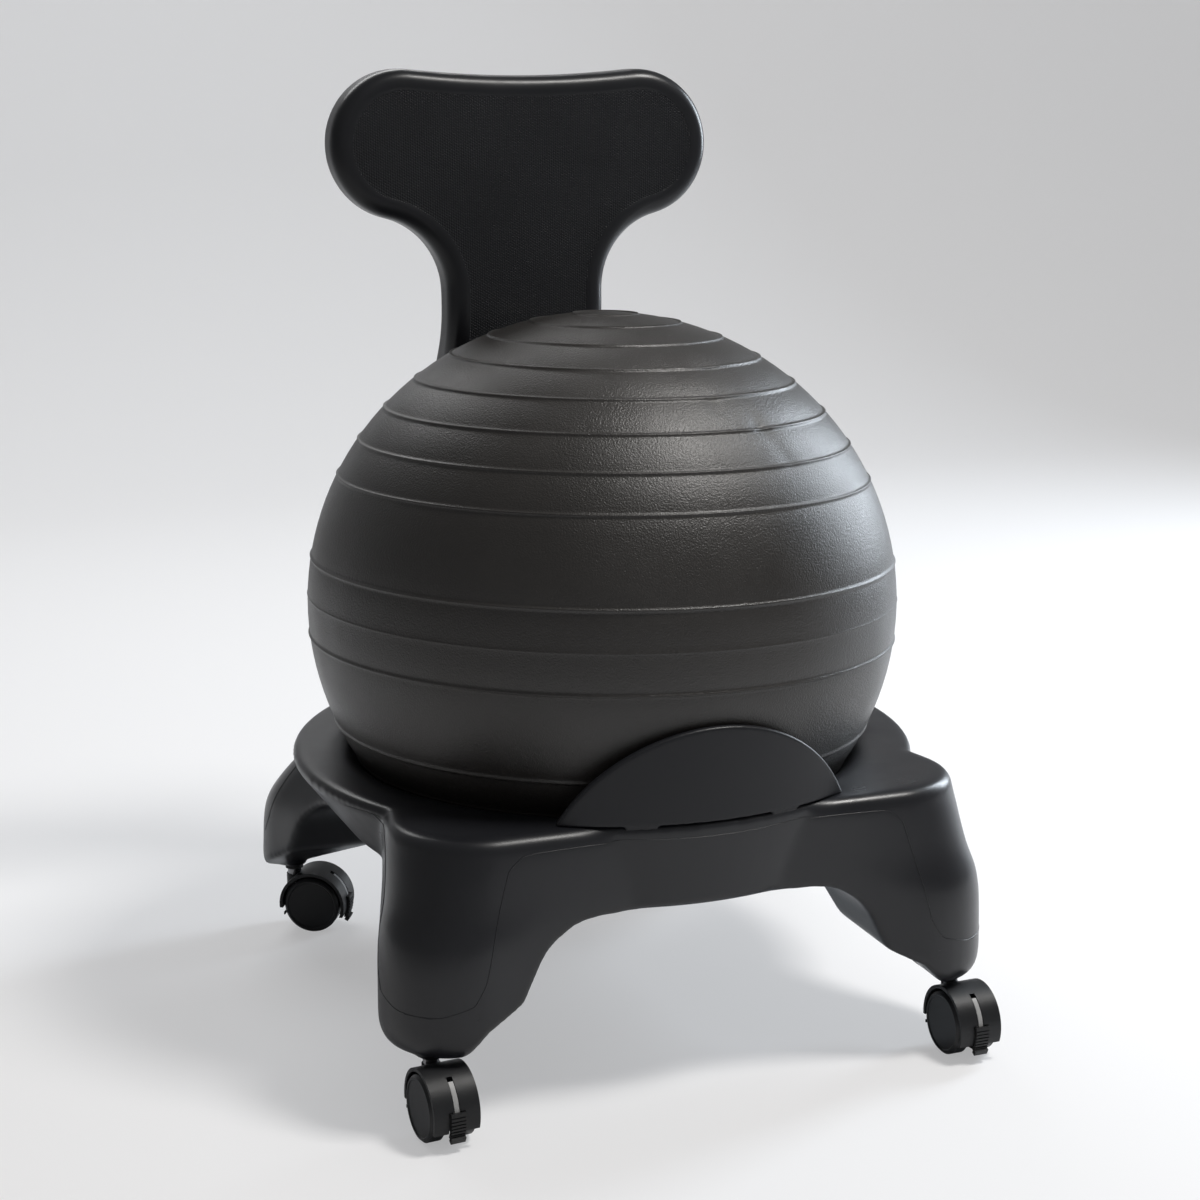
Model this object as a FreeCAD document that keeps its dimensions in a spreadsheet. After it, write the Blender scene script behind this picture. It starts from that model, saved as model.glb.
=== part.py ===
import FreeCAD, Part

import math
import os

import Sketcher

# Balance ball chair. The origin is on the floor under the middle of the ball, +Z is up and the
# sitter faces -Y. Left and right are those of a viewer who faces the chair's front, left is -X.

Vector = FreeCAD.Vector
Placement = FreeCAD.Placement
Rotation = FreeCAD.Rotation

UP = Vector(0, 0, 1)
ALONG_X = Vector(1, 0, 0)
ALONG_Y = Vector(0, 1, 0)
HALF_TURN = 180
QUARTER_TURN = 90
FULL_TURN = 360

doc = FreeCAD.newDocument("balance_ball_chair")
sheet = doc.addObject("Spreadsheet::Sheet", "sizes")
sheet_row = 0


def group(title):
    """Starts a titled block of rows in the sheet."""
    global sheet_row
    sheet_row += 2
    sheet.set(f"A{sheet_row}", title)


def size(alias, value, note):
    """Adds one driving dimension, in millimetres or degrees, to the sheet."""
    global sheet_row
    sheet_row += 1
    sheet.set(f"A{sheet_row}", alias)
    sheet.set(f"B{sheet_row}", str(value))
    sheet.setAlias(f"B{sheet_row}", alias)
    sheet.set(f"C{sheet_row}", note)


group("Ball")
size("ball_width", 520, "across the seam")
size("ball_height", 505.4, "pole to pole, squashed a little by its own seat")
size("ball_wall", 1.6, "thickness of the skin")
size("ball_centre", 361.5, "height of the middle of the ball above the floor")
size("seam_rise", 8, "height of the seam above the middle of the ball")
size("ridge_height", 0.9, "how far a grip ring stands out of the skin")
size("ridge_foot", 0.45, "half the width of a grip ring, in degrees of latitude")
size("seam_ring", 7.75, "latitude of the pair of rings beside the seam")
size("band_ring", 25.3, "latitude of the first ring past the plain band")
size("ring_pitch", 8.35, "step in latitude from there to each pole")
size("ring_count", 8, "rings from the plain band to a pole")
size("band_step", 6.2, "latitude between two profile points on a plain band")
size("valve_radius", 5.3, "hole for the air plug at the lower pole")
size("ball_lean", -1.3, "how far the ball lies turned in its seat, about X, in degrees")
size("ball_roll", 1.1, "the same about Y")

group("Air plug")
size("plug_play", 0.1, "radial play of the plug in its hole")
size("plug_length", 16, "barrel of the plug, inside the ball")
size("plug_head_radius", 9, "flange of the plug")
size("plug_head", 1.6, "thickness of the flange")
size("plug_seat", 0.3, "gap between flange and skin")
size("plug_nose", 1.2, "chamfer at the end of the barrel")

group("Base ring")
size("wall", 4, "thickness of the moulded wall")
size("rim_top", 236, "height of the top of the rim")
size("parting", 227, "height of the moulding's widest line")
size("rail_bottom", 161, "underside of the rails between the legs")
size("side_radius", 277.5, "the rim's widest radius at the sides and the back")
size("front_radius", 263, "the rim's radius at the front")
size("rim_inner", 240, "where the flat of the rim ends and the bowl begins")
size("rim_flat", 266, "where the flat of the rim ends and its outer roll begins")
size("front_flat", 250, "the same at the front")
size("rim_roll", 3.5, "fullness of the outer roll of the rim")
size("side_foot_radius", 226, "lower edge of the side rails")
size("front_foot_radius", 252, "lower edge of the front and back rails")
size("rail_round", 7, "rounding of a rail's lower edge")
size("mouth_round", 12, "rounding where the bowl meets the rim")
size("lip_radius", 178, "open middle of the bowl")
size("lip_depth", 10, "height of the upright lip under the seat")
size("seat_radius", 205, "where the ball touches the bowl")
size("seat_gap", 0.8, "gap left between the ball's skin and the bowl, filled by a grip ring")
size("apron_half", 172, "half width of the flat front and back")

group("Legs")
size("corner_offset", 233, "caster stems, from the middle along X and along Y")
size("leg_bottom", 60.5, "lowest point of a leg")
size("leg_step", 13, "height between two sections of a leg")
size("leg_back", 160, "how far a leg's form runs in under the ring")
size("crown_inset", 12, "how far the top's roll draws in")
size("crown_drop", 0.3, "how far a leg's top lies under the rim's")
size("front_sole_inset", 46, "how far the rounding of a front leg's sole draws in")
size("rear_sole_inset", 19, "the same for a rear leg")
for level, height, reach, nose, across, along in (
        ("front_ankle", 90, 22, 60, 27, 25), ("front_shin", 128, 20.7, 60.7, 30, 26),
        ("front_knee", 149, 18, 60.6, 34, 28), ("front_hip", 174, 8, 61.5, 40, 30),
        ("front_shoulder", 223, -7, 72, 45, 33),
        ("rear_ankle", 80, 23.9, 60, 25, 25), ("rear_shin", 118, 21.9, 60, 26, 26),
        ("rear_knee", 135, 18.4, 60, 28, 28), ("rear_hip", 155, 6, 60, 32, 30),
        ("rear_shoulder", 223, -62, 62, 42, 38)):
    size(level + "_height", height, "level of the leg: height above the floor")
    size(level + "_reach", reach, "reach of the leg outside the stem there")
    size(level + "_nose", nose, "radius of the leg's round nose there")
    size(level + "_across", across, "angle of the front or rear side to the diagonal there")
    size(level + "_along", along, "angle of the left or right side to the diagonal there")
size("arch_half", 93.5, "half the flat of the arch between two legs")
size("arch_round", 60, "radius of the arch's upper corners")
size("arch_lean", 64.5, "slope of the arch's sides")
size("heel_height", 100, "where the arch's side meets the sole")
size("heel_round", 18, "rounding of that corner")
size("foot_half", 237, "half the distance between the soles of two legs")

group("Front guard")
size("guard_arc", 263.2, "radius of the guard's outer face, seen from above")
size("guard_half", 126, "half the length of the guard")
size("guard_peak", 78, "height of its crown above the rim")
size("guard_thick", 7, "thickness of the panel")
size("guard_round", 2.2, "rounding of its edge")
size("tab_width", 26, "each of the two tongues under the guard")
size("tab_thick", 4, "thickness of a tongue")
size("tab_length", 14, "depth of a tongue in the rim")
size("tab_offset", 62, "tongues, from the middle")
size("tab_play", 0.2, "play of a tongue in its slot")

group("Backrest")
size("back_thick", 40, "thickness of the backrest")
size("back_top", 813, "height of the dip between the two lobes")
size("lobe_offset", 116, "centre of each lobe, from the middle")
size("lobe_height", 750.5, "centre of each lobe, above the floor")
size("lobe_radius", 68.5, "radius of each lobe")
size("stem_half", 77, "half the width of the backrest's stem")
size("crotch_height", 614, "where the stem's sides start to spread")
size("bend_reach", 267, "front of the stem behind the middle of the ball")
size("bend_radius", 322, "bow of the stem around the ball")
size("bend_height", 360, "height of the deepest point of that bow")
size("lumbar_radius", 114, "turn of the stem into the lumbar pad")
size("bend_angle", 33.6, "slope of the stem where that turn begins")
size("recline", 2.4, "lean of the pad from upright")
size("front_edge_round", 13, "rounding around the pad's face")
size("rear_edge_round", 9, "rounding around its back")
size("tongue_half", 66, "half the width of the tongue in the base")
size("tongue_thick", 26, "thickness of that tongue")
size("tongue_depth", 56, "depth of that tongue in the base")
size("tongue_front", 246, "front face of that tongue")
size("tongue_play", 0.3, "play of the tongue in its pocket")
size("pocket_wall", 8, "wall around the pocket")
size("mount_back", 14, "wall behind the pocket, which the bolts clamp")
size("mount_round", 12, "rounding of the mount's upright corners")
size("mount_edge", 4, "rounding of its upper edge")
size("root_depth", 16, "solid foot of the stem")

group("Backrest fasteners")
size("bolt_offset", 42, "bolts, from the middle")
size("bolt_height", 206, "bolts, above the floor")
size("bolt_radius", 4, "shank of a bolt")
size("bolt_play", 0.25, "play of a bolt in the pocket's wall")
size("bolt_reach", 30, "length of the shank")
size("head_radius", 7.5, "head of a bolt")
size("head_height", 4.5, "height of the head")
size("head_chamfer", 1.4, "chamfer of the head")
size("hex_radius", 2.9, "socket in the head, across its corners")
size("hex_depth", 2.6, "depth of that socket")
size("washer_radius", 10.5, "washer under the head")
size("washer_thick", 1.6, "thickness of the washer")
size("insert_radius", 5.6, "threaded insert in the tongue")
size("insert_length", 16, "length of the insert")
size("insert_flange", 7.2, "flange of the insert")
size("insert_flange_thick", 1.4, "thickness of that flange")
size("thread_play", 0.05, "gap drawn between shank and insert")

group("Caster")
size("wheel_radius", 27, "wheel")
size("wheel_width", 13.4, "width of one wheel")
size("wheel_gap", 7.0, "inner face of a wheel, from the middle of the caster")
size("tread", 4.5, "thickness of the wheel's rim")
size("tread_round", 2.2, "chamfer of the tread's edges")
size("wheel_disc", 3, "thickness of the wheel's outer disc")
size("wheel_dish", 0.8, "depth of the dish in that disc")
size("dish_edge", 3.5, "width of the raised edge around the dish")
size("hub_radius", 6, "wheel's hub")
size("trail", 22, "axle, behind the swivel axis")
size("axle_radius", 3, "axle")
size("axle_play", 0.05, "play of a wheel on the axle")
size("axle_depth", 9.8, "how far the axle reaches into a wheel")
size("axle_nose", 0.6, "chamfer at the ends of the axle")
size("hood_radius", 32.2, "outer radius of the hood")
size("hood_clear", 2.2, "gap between wheel and hood")
size("hood_half", 19.3, "half the width of the hood")
size("web_half", 6.4, "half the thickness of the hood's middle web")
size("web_bottom", 16, "lower edge of the hood and its web")
size("hood_front_edge", 23, "lower edge of the hood under the stem")
size("hood_front_cut", 6, "how far before the stem that edge ends")
size("boss_radius", 7.6, "boss around the stem")
size("boss_top", 53, "top of that boss")
size("bore_bottom", 30, "bottom of the stem's hole")
size("press_gap", 0.02, "gap drawn between two pressed pieces")

group("Caster stem and socket")
size("shank_radius", 4, "stem inside the hood")
size("collar_radius", 6.5, "collar of the stem, between hood and leg")
size("collar_gap", 0.3, "gap between the collar and the socket")
size("stem_radius", 5.5, "stem inside the socket")
size("stem_length", 38, "length of the stem in the socket")
size("stem_play", 0.05, "play of the stem in the socket")
size("stem_tip", 1.2, "chamfer at the top of the stem")
size("groove_radius", 4.4, "groove for the grip ring")
size("groove_low", 9, "lower edge of the groove, from the stem's top")
size("groove_high", 5, "upper edge of the groove, from the stem's top")
size("ring_gap", 0.08, "play of the groove in the grip ring")
size("ring_slit", 1.6, "slit in the grip ring")
size("socket_wall", 2.2, "wall of the socket")
size("socket_top_gap", 3, "space above the stem")
size("flange_radius", 8.6, "flange of the socket")
size("flange_thick", 1.6, "thickness of that flange")
size("boss_wall", 4.5, "wall of the leg's boss around the socket")

group("Caster brake")
size("pivot_reach", 23.1, "pivot of the brake lever, behind the axle")
size("pivot_rise", 11.5, "pivot, above the axle")
size("pivot_radius", 1.6, "pin of the lever")
size("pivot_play", 0.06, "play of the pin")
size("pivot_half", 5.4, "half the length of the pin")
size("lever_half", 2.0, "half the width of the lever's arm")
size("slot_play", 0.5, "gap at each side of the arm in its slot")
size("lever_thick", 3.6, "thickness of the arm")
size("lever_sink", 0.4, "how far the arm lies below the hood's skin")
size("lever_high", 56, "upper end of the arm, in degrees around the axle")
size("lever_low", -12, "lower end of the arm, in degrees")
size("slot_high", 64, "upper end of the slot, in degrees")
size("slot_depth", 10.5, "depth of the slot")
size("pad_half", 6.2, "half the width of the brake pad")
size("pad_thick", 3.4, "thickness of the pad")
size("pad_high", 11, "upper end of the pad, in degrees")
size("pad_low", -27, "lower end of the pad, in degrees")
size("lip_rise", 2.2, "how far the pad's lower end kicks out")
size("lip_sweep", 4, "length of that kick, in degrees")
size("rib_count", 7, "ribs across the pad")
size("rib_share", 0.4, "share of the pad that the grooves between its ribs take")
size("rib_depth", 1.0, "depth of the grooves between them")
size("notch_half", 6.9, "half the width of the opening behind the pad")
size("notch_top", 34, "upper edge of that opening")
size("notch_reach", 19, "front edge of that opening, behind the axle")

group("How the casters stand")
size("front_left_yaw", -84.5, "direction of the front left caster's tail")
size("front_right_yaw", -89, "front right")
size("rear_left_yaw", -30, "rear left")
size("rear_right_yaw", -75, "rear right")

doc.recompute()


def mm(alias):
    """The value of a cell of the sheet."""
    value = getattr(sheet, alias)
    return float(getattr(value, "Value", value))


def value_of(expression):
    """The value of an expression of cells, such as sizes.wall * 2."""
    value = sheet.evalExpression(expression)
    return float(getattr(value, "Value", value))


def origin_plane(body, role):
    return [f for f in body.Origin.OriginFeatures if f.Role == role][0]


def turned(label, corners):
    """A body turned about its own Z axis. The corners are (radius, height) expressions."""
    body = doc.addObject("PartDesign::Body", label)
    sketch = body.newObject("Sketcher::SketchObject", label + "_profile")
    sketch.AttachmentSupport = [(origin_plane(body, "XZ_Plane"), "")]
    sketch.MapMode = "FlatFace"
    points = [Vector(value_of(r), value_of(z), 0) for r, z in corners]
    count = len(points)
    for i in range(count):
        sketch.addGeometry(Part.LineSegment(points[i], points[(i + 1) % count]))
    for i in range(count):
        sketch.addConstraint(Sketcher.Constraint("Coincident", i, 2, (i + 1) % count, 1))
    for i, (radius, height) in enumerate(corners):
        for kind, expression in (("DistanceX", radius), ("DistanceY", height)):
            start = points[i].x if kind == "DistanceX" else points[i].y
            made = sketch.addConstraint(Sketcher.Constraint(kind, -1, 1, i, 1, start))
            sketch.setExpression(f"Constraints[{made}]", expression)
    turn = body.newObject("PartDesign::Revolution", label + "_turn")
    turn.Profile = sketch
    turn.ReferenceAxis = (sketch, ["V_Axis"])
    turn.Angle = FULL_TURN
    body.Tip = turn
    return body


def bind(thing, **expressions):
    for name, expression in expressions.items():
        thing.setExpression(name, expression)
    return thing


def place(thing, x="0", y="0", z="0"):
    for axis, expression in zip("xyz", (x, y, z)):
        thing.setExpression(f"Placement.Base.{axis}", expression)
    return thing


def cylinder(label, radius, height, x="0", y="0", z="0", axis=UP):
    """A cylinder whose foot is at x, y, z."""
    made = doc.addObject("Part::Cylinder", label)
    made.Placement.Rotation = Rotation(UP, axis)
    bind(made, Radius=radius, Height=height)
    return place(made, x, y, z)


def block(label, length, width, height, x="0", y="0", z="0"):
    """A box whose lowest corner is at x, y, z."""
    made = doc.addObject("Part::Box", label)
    bind(made, Length=length, Width=width, Height=height)
    return place(made, x, y, z)


def joined(label, things):
    made = doc.addObject("Part::MultiFuse", label)
    made.Shapes = things
    made.Refine = True
    return made


def cut(label, base, tools):
    made = doc.addObject("Part::Cut", label)
    made.Base = base
    made.Tool = tools[0] if len(tools) == 1 else joined(label + "_tools", tools)
    made.Refine = True
    return made


def formed(label, shape):
    """A part whose form neither a sketch nor a primitive gives."""
    made = doc.addObject("Part::Feature", label)
    made.Shape = shape
    return made


def linked(label, master, placement):
    """One more copy of a part, standing somewhere else."""
    made = doc.addObject("App::Link", label)
    made.LinkedObject = master
    made.LinkPlacement = placement
    made.Label = label
    return made


def grouped(label, master, placements):
    """Identical fasteners, as separate solids of one node."""
    made = doc.addObject("Part::Compound", label)
    made.Links = [linked(f"{label}_{i}", master, p) for i, p in enumerate(placements, 1)]
    return made


def polyline(points):
    return [Part.makeLine(a, b) for a, b in zip(points, points[1:]) if a.distanceToPoint(b) > 1e-6]


def arc_through(start, middle, end):
    return Part.Arc(start, middle, end).toShape()


def face_of(edges):
    return Part.Face(Part.Wire(Part.__sortEdges__(edges)))


def rz(radius, height):
    """A point of a turned profile, in the XZ plane."""
    return Vector(radius, 0, height)


# The ball: a blown skin of soft plastic, with grip rings all round it, closer together towards
# the poles, a seam around its middle and one hole for its air plug at the lower pole.

BALL_RADIUS = mm("ball_width") / 2
BALL_HALF = mm("ball_height") / 2
BALL_CENTRE = mm("ball_centre")
SEAM_FADE = 6
ROUND_PULL = 0.42


def ball_radius(rise, skin=0):
    """Radius of the ball at a height above its middle, for a surface skin under the outside."""
    share = rise / (BALL_HALF - skin)
    return (BALL_RADIUS - skin) * math.sqrt(max(0, 1 - share * share))


def ring_rise(latitude):
    """Height of a latitude above the ball's middle. The seam itself sits a little above it."""
    angle = math.radians(latitude)
    return BALL_HALF * math.sin(angle) + mm("seam_rise") * math.cos(angle) ** SEAM_FADE


def ring_latitudes():
    upper = [mm("seam_ring")]
    upper += [mm("band_ring") + i * mm("ring_pitch") for i in range(round(mm("ring_count")))]
    return sorted([-latitude for latitude in upper] + [0.0] + upper)


def skin_point(latitude, lift=0):
    rise = ring_rise(latitude)
    angle = math.radians(latitude)
    radius = ball_radius(rise) + lift * math.cos(angle)
    return rz(radius, BALL_CENTRE + rise + lift * math.sin(angle))


def ball_shape():
    """The skin's section, turned a full turn: the outside with its rings, then the inside."""
    foot = mm("ridge_foot")
    valve = mm("valve_radius")
    pole = math.sqrt(1 - (valve / BALL_RADIUS) ** 2)
    outside = [rz(valve, BALL_CENTRE - BALL_HALF * pole)]
    rings = ring_latitudes()
    for latitude, following in zip(rings, rings[1:] + [QUARTER_TURN]):
        outside.append(skin_point(latitude - foot))
        outside.append(skin_point(latitude, mm("ridge_height")))
        outside.append(skin_point(latitude + foot))
        steps = max(1, round((following - latitude) / mm("band_step")))
        for i in range(1, steps):
            outside.append(skin_point(latitude + (following - latitude) * i / steps))
    outside.append(rz(0, BALL_CENTRE + BALL_HALF))
    inner_half = BALL_HALF - mm("ball_wall")
    inside = []
    inner_steps = round(HALF_TURN / mm("band_step"))
    inner_pole = math.asin(valve / (BALL_RADIUS - mm("ball_wall")))
    for i in range(inner_steps + 1):
        angle = math.pi / 2 - (math.pi - inner_pole) * i / inner_steps
        radius = (BALL_RADIUS - mm("ball_wall")) * math.cos(angle)
        inside.append(rz(max(0, radius), BALL_CENTRE + inner_half * math.sin(angle)))
    inside[-1].x = valve
    section = face_of(polyline(outside + inside + [outside[0]]))
    return section.revolve(Vector(), UP, FULL_TURN)


lean = Rotation(ALONG_Y, mm("ball_roll")) * Rotation(ALONG_X, mm("ball_lean"))
middle_of_ball = Vector(0, 0, BALL_CENTRE)
ball_place = Placement(middle_of_ball - lean.multVec(middle_of_ball), lean)
ball = formed("ball", ball_shape())
ball.Placement = ball_place

plug_master = turned("plug_form", [
    ("0", "-sizes.plug_head - sizes.plug_seat"),
    ("sizes.plug_head_radius", "-sizes.plug_head - sizes.plug_seat"),
    ("sizes.plug_head_radius", "-sizes.plug_seat"),
    ("sizes.valve_radius - sizes.plug_play", "-sizes.plug_seat"),
    ("sizes.valve_radius - sizes.plug_play", "sizes.plug_length - sizes.plug_nose"),
    ("sizes.valve_radius - sizes.plug_play - sizes.plug_nose", "sizes.plug_length"),
    ("0", "sizes.plug_length")])
ball_plug = linked("ball_plug", plug_master,
                   ball_place * Placement(Vector(0, 0, BALL_CENTRE - BALL_HALF), Rotation()))

# The base: one hollow moulding, a ring whose bowl carries the ball, on four legs at the corners.
# The arches between the legs are two tunnels that cross under the ring.

SEAT_SLOPE = BALL_HALF * (mm("seat_radius") / BALL_RADIUS ** 2) / math.sqrt(
    1 - (mm("seat_radius") / BALL_RADIUS) ** 2)
SEAT_HEIGHT = BALL_CENTRE - BALL_HALF * math.sqrt(1 - (mm("seat_radius") / BALL_RADIUS) ** 2)


def seat_height(radius, skin=0):
    """Height of the bowl's cone, which only just clears the ball at the seat radius."""
    drop = (mm("seat_gap") + skin) * math.hypot(1, SEAT_SLOPE)
    return SEAT_HEIGHT - drop + SEAT_SLOPE * (radius - mm("seat_radius"))


def bowl_edge(skin):
    """The bowl from its lip up to the flat of the rim."""
    lip = mm("lip_radius") + skin
    top = mm("rim_top") - skin
    corner = mm("seat_radius") + (top - seat_height(mm("seat_radius"), skin)) / SEAT_SLOPE
    run = mm("mouth_round")
    along = Vector(1, 0, SEAT_SLOPE).normalize()
    start = rz(corner, top) - along * run
    end = rz(corner + run, top)
    middle = (start + end) * (1 - ROUND_PULL) / 2 + rz(corner, top) * ROUND_PULL
    return [rz(lip, seat_height(lip, skin)), start], arc_through(start, middle, end), end


def rail_section(outer, flat, foot, skin):
    """Section of the ring: bowl, rim, outer wall and underside."""
    slope, mouth, mouth_end = bowl_edge(skin)
    top = mm("rim_top") - skin
    bottom = mm("rail_bottom") + skin
    wide = rz(outer - skin, mm("parting"))
    flat_end = rz(max(flat - skin, mouth_end.x + 1), top)
    bulge = (flat_end + wide) / 2 + rz(wide.z - flat_end.z, flat_end.x - wide.x).normalize() * (
        -mm("rim_roll"))
    round_size = mm("rail_round")
    down = rz(foot - skin - wide.x, bottom - wide.z).normalize()
    foot_point = rz(foot - skin, bottom)
    wall_end = foot_point - down * round_size
    under = foot_point - rz(round_size, 0)
    turn = foot_point * ROUND_PULL + (wall_end + under) * (1 - ROUND_PULL) / 2
    lip = slope[0]
    lip_foot = rz(lip.x, lip.z - mm("lip_depth"))
    edges = polyline(slope)
    edges.append(mouth)
    edges += polyline([mouth_end, flat_end])
    edges.append(arc_through(flat_end, bulge, wide))
    edges += polyline([wide, wall_end])
    edges.append(arc_through(wall_end, turn, under))
    edges += polyline([under, rz(lip.x + mm("lip_depth"), bottom), lip_foot, lip])
    return face_of(edges)


def leg_section(height, reach, nose, across, along):
    """One level of a leg, seen from above: two sides and a round nose that points outward."""
    back = mm("leg_back")
    centre = Vector(reach - nose, 0, height)
    touches, ends = [], []
    for angle, side in ((math.radians(across), -1), (math.radians(along), 1)):
        touch = centre + Vector(math.sin(angle), side * math.cos(angle), 0) * nose
        touches.append(touch)
        width = abs(touch.y) + (touch.x + back) * math.tan(angle)
        ends.append(Vector(-back, side * width, height))
    return Part.Wire([
        Part.makeLine(ends[0], touches[0]),
        arc_through(touches[0], centre + ALONG_X * nose, touches[1]),
        Part.makeLine(touches[1], ends[1]),
        Part.makeLine(ends[1], ends[0])])


ROUNDING_STEPS = (0, 22, 42, 62)
LEG_LEVELS = ("ankle", "shin", "knee", "hip", "shoulder")


def smooth_slopes(steps):
    """Slopes at the stations of a line that has no bumps between them."""
    slopes = [steps[0]]
    for before, after in zip(steps, steps[1:]):
        rising_alike = before * after > 0
        slopes.append(2 * before * after / (before + after) if rising_alike else 0)
    return slopes + [steps[-1]]


def along_leg(end, what, height):
    """A measure of a leg at any height, on a smooth line through its named levels."""
    heights = [mm(f"{end}_{level}_height") for level in LEG_LEVELS]
    values = [mm(f"{end}_{level}_{what}") for level in LEG_LEVELS]
    runs = [b - a for a, b in zip(heights, heights[1:])]
    slopes = smooth_slopes([(b - a) / run for a, b, run in zip(values, values[1:], runs)])
    i = max(k for k in range(len(runs)) if heights[k] <= height or k == 0)
    share = (height - heights[i]) / runs[i]
    start, end_value = values[i], values[i + 1]
    lift = share * share * (3 - 2 * share)
    early = share * (1 - share) ** 2
    late = share * share * (share - 1)
    return start + (end_value - start) * lift + runs[i] * (slopes[i] * early + slopes[i + 1] * late)


def leg_level(end, height, inset, at=None):
    """The leg's section at one height, drawn in by an inset from its form at another."""
    at = height if at is None else at
    return leg_section(height, along_leg(end, "reach", at) - inset,
                       along_leg(end, "nose", at) - inset, along_leg(end, "across", at),
                       along_leg(end, "along", at))


def leg_solid(end, skin):
    """A leg as a loft: round sole, upright shin, a knee that leans in, and a rolled shoulder."""
    ankle = mm(end + "_ankle_height")
    shoulder = mm(end + "_shoulder_height")
    sole_rise = ankle - mm("leg_bottom") - skin
    crown_rise = mm("rim_top") - mm("crown_drop") - skin - shoulder
    sections = []
    for step in ROUNDING_STEPS:
        angle = math.radians(step)
        inset = mm(end + "_sole_inset") * (1 - math.sin(angle)) + skin
        sections.append(leg_level(end, ankle - sole_rise * math.cos(angle), inset, ankle))
    steps = round((shoulder - ankle) / mm("leg_step"))
    for i in range(steps + 1):
        sections.append(leg_level(end, ankle + (shoulder - ankle) * i / steps, skin))
    for step in reversed(ROUNDING_STEPS):
        angle = math.radians(step)
        inset = mm("crown_inset") * (1 - math.sin(angle)) + skin
        sections.append(leg_level(end, shoulder + crown_rise * math.cos(angle), inset, shoulder))
    return Part.makeLoft(sections, True, False)


CORNERS = {
    "front_left": (-1, -1),
    "front_right": (1, -1),
    "rear_right": (1, 1),
    "rear_left": (-1, 1),
}


def corner_point(name, height=0):
    x, y = CORNERS[name]
    return Vector(x * mm("corner_offset"), y * mm("corner_offset"), height)


def arch_tool(skin):
    """The tunnel between two legs, as a long solid along Y."""
    lean = math.radians(mm("arch_lean"))
    radius = mm("arch_round") + skin
    half = mm("arch_half")
    top = mm("rail_bottom") - mm("press_gap") + skin
    centre = rz(half, top - radius)
    side = centre + rz(radius * math.sin(lean), radius * math.cos(lean))
    knuckle = centre + rz(radius * math.sin(lean / 2), radius * math.cos(lean / 2))
    heel_z = mm("heel_height") + skin
    heel = rz(side.x + (side.z - heel_z) / math.tan(lean), heel_z)
    sole = mm("leg_bottom") + skin
    slope = (mm("heel_height") - mm("leg_bottom")) / (mm("foot_half") - heel.x)
    foot = rz(heel.x + (heel_z - sole) / slope, sole)
    floor = rz(foot.x + mm("arch_half"), 0)
    right = polyline([rz(half, top), rz(0, top)])
    right.append(arc_through(rz(half, top), knuckle, side))
    right += polyline([side, heel, foot, floor, rz(0, 0)])
    left = [edge.mirror(Vector(), ALONG_X) for edge in right]
    reach = mm("side_radius") + mm("arch_half")
    tunnel = face_of(right + left).extrude(ALONG_Y * 2 * reach)
    tunnel.translate(ALONG_Y * -reach)
    heels = [e for e in tunnel.Edges if abs(abs(e.CenterOfMass.x) - heel.x) < 0.01
             and abs(e.CenterOfMass.z - heel_z) < 0.01]
    return tunnel.makeFillet(mm("heel_round"), heels)


def bowl_tool(skin):
    """Everything inside the bowl and its open middle, to be cut away."""
    slope, mouth, mouth_end = bowl_edge(skin)
    above = mm("rim_top") + mm("guard_peak")
    edges = polyline([rz(0, 0), rz(slope[0].x, 0), slope[0], slope[1]])
    edges.append(mouth)
    edges += polyline([mouth_end, rz(mouth_end.x, above), rz(0, above), rz(0, 0)])
    return face_of(edges).revolve(Vector(), UP, FULL_TURN)


def guard_sill():
    """The part of the rim that fills out to the guard's face."""
    low = mm("parting")
    rise = mm("rim_top") - low
    sill = Part.makeCylinder(mm("guard_arc"), rise, Vector(0, 0, low))
    core = Part.makeCylinder(mm("front_flat") - mm("wall"), rise, Vector(0, 0, low))
    half = mm("guard_half")
    reach = mm("guard_arc") + mm("wall")
    return sill.cut(core).common(Part.makeBox(2 * half, reach, low + rise, Vector(-half, -reach, 0)))


MOUNT_BACK = mm("tongue_front") + mm("tongue_thick") + mm("tongue_play") + mm("mount_back")
POCKET_HALF = mm("tongue_half") + mm("tongue_play")
POCKET_FRONT = mm("tongue_front") - mm("tongue_play")


def backrest_mount():
    """The block at the back of the ring that takes the backrest's tongue."""
    half = POCKET_HALF + mm("pocket_wall")
    low = mm("rail_bottom")
    depth = MOUNT_BACK - mm("seat_radius")
    block_form = Part.makeBox(2 * half, depth, mm("rim_top") - low,
                              Vector(-half, MOUNT_BACK - depth, low))
    upright = [e for e in block_form.Edges if e.CenterOfMass.y > MOUNT_BACK - 1
               and abs(e.CenterOfMass.x) > half - 1]
    block_form = block_form.makeFillet(mm("mount_round"), upright)
    upper = [e for e in block_form.Edges if e.BoundBox.ZMin > mm("rim_top") - 1
             and e.CenterOfMass.y > MOUNT_BACK - depth + 1]
    return block_form.makeFillet(mm("mount_edge"), upper)


def socket_bosses():
    """The columns inside the legs that carry the casters' sockets."""
    radius = SOCKET_RADIUS + mm("boss_wall")
    low = mm("leg_bottom")
    height = SOCKET_TOP - low + mm("wall")
    return [Part.makeCylinder(radius, height, corner_point(name, low)) for name in CORNERS]


def pocket_walls():
    """What stays solid around the backrest's pocket."""
    wall = mm("wall")
    half = POCKET_HALF + wall
    front = POCKET_FRONT - wall
    return Part.makeBox(2 * half, MOUNT_BACK - front, mm("rim_top"), Vector(-half, front, 0))


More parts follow.
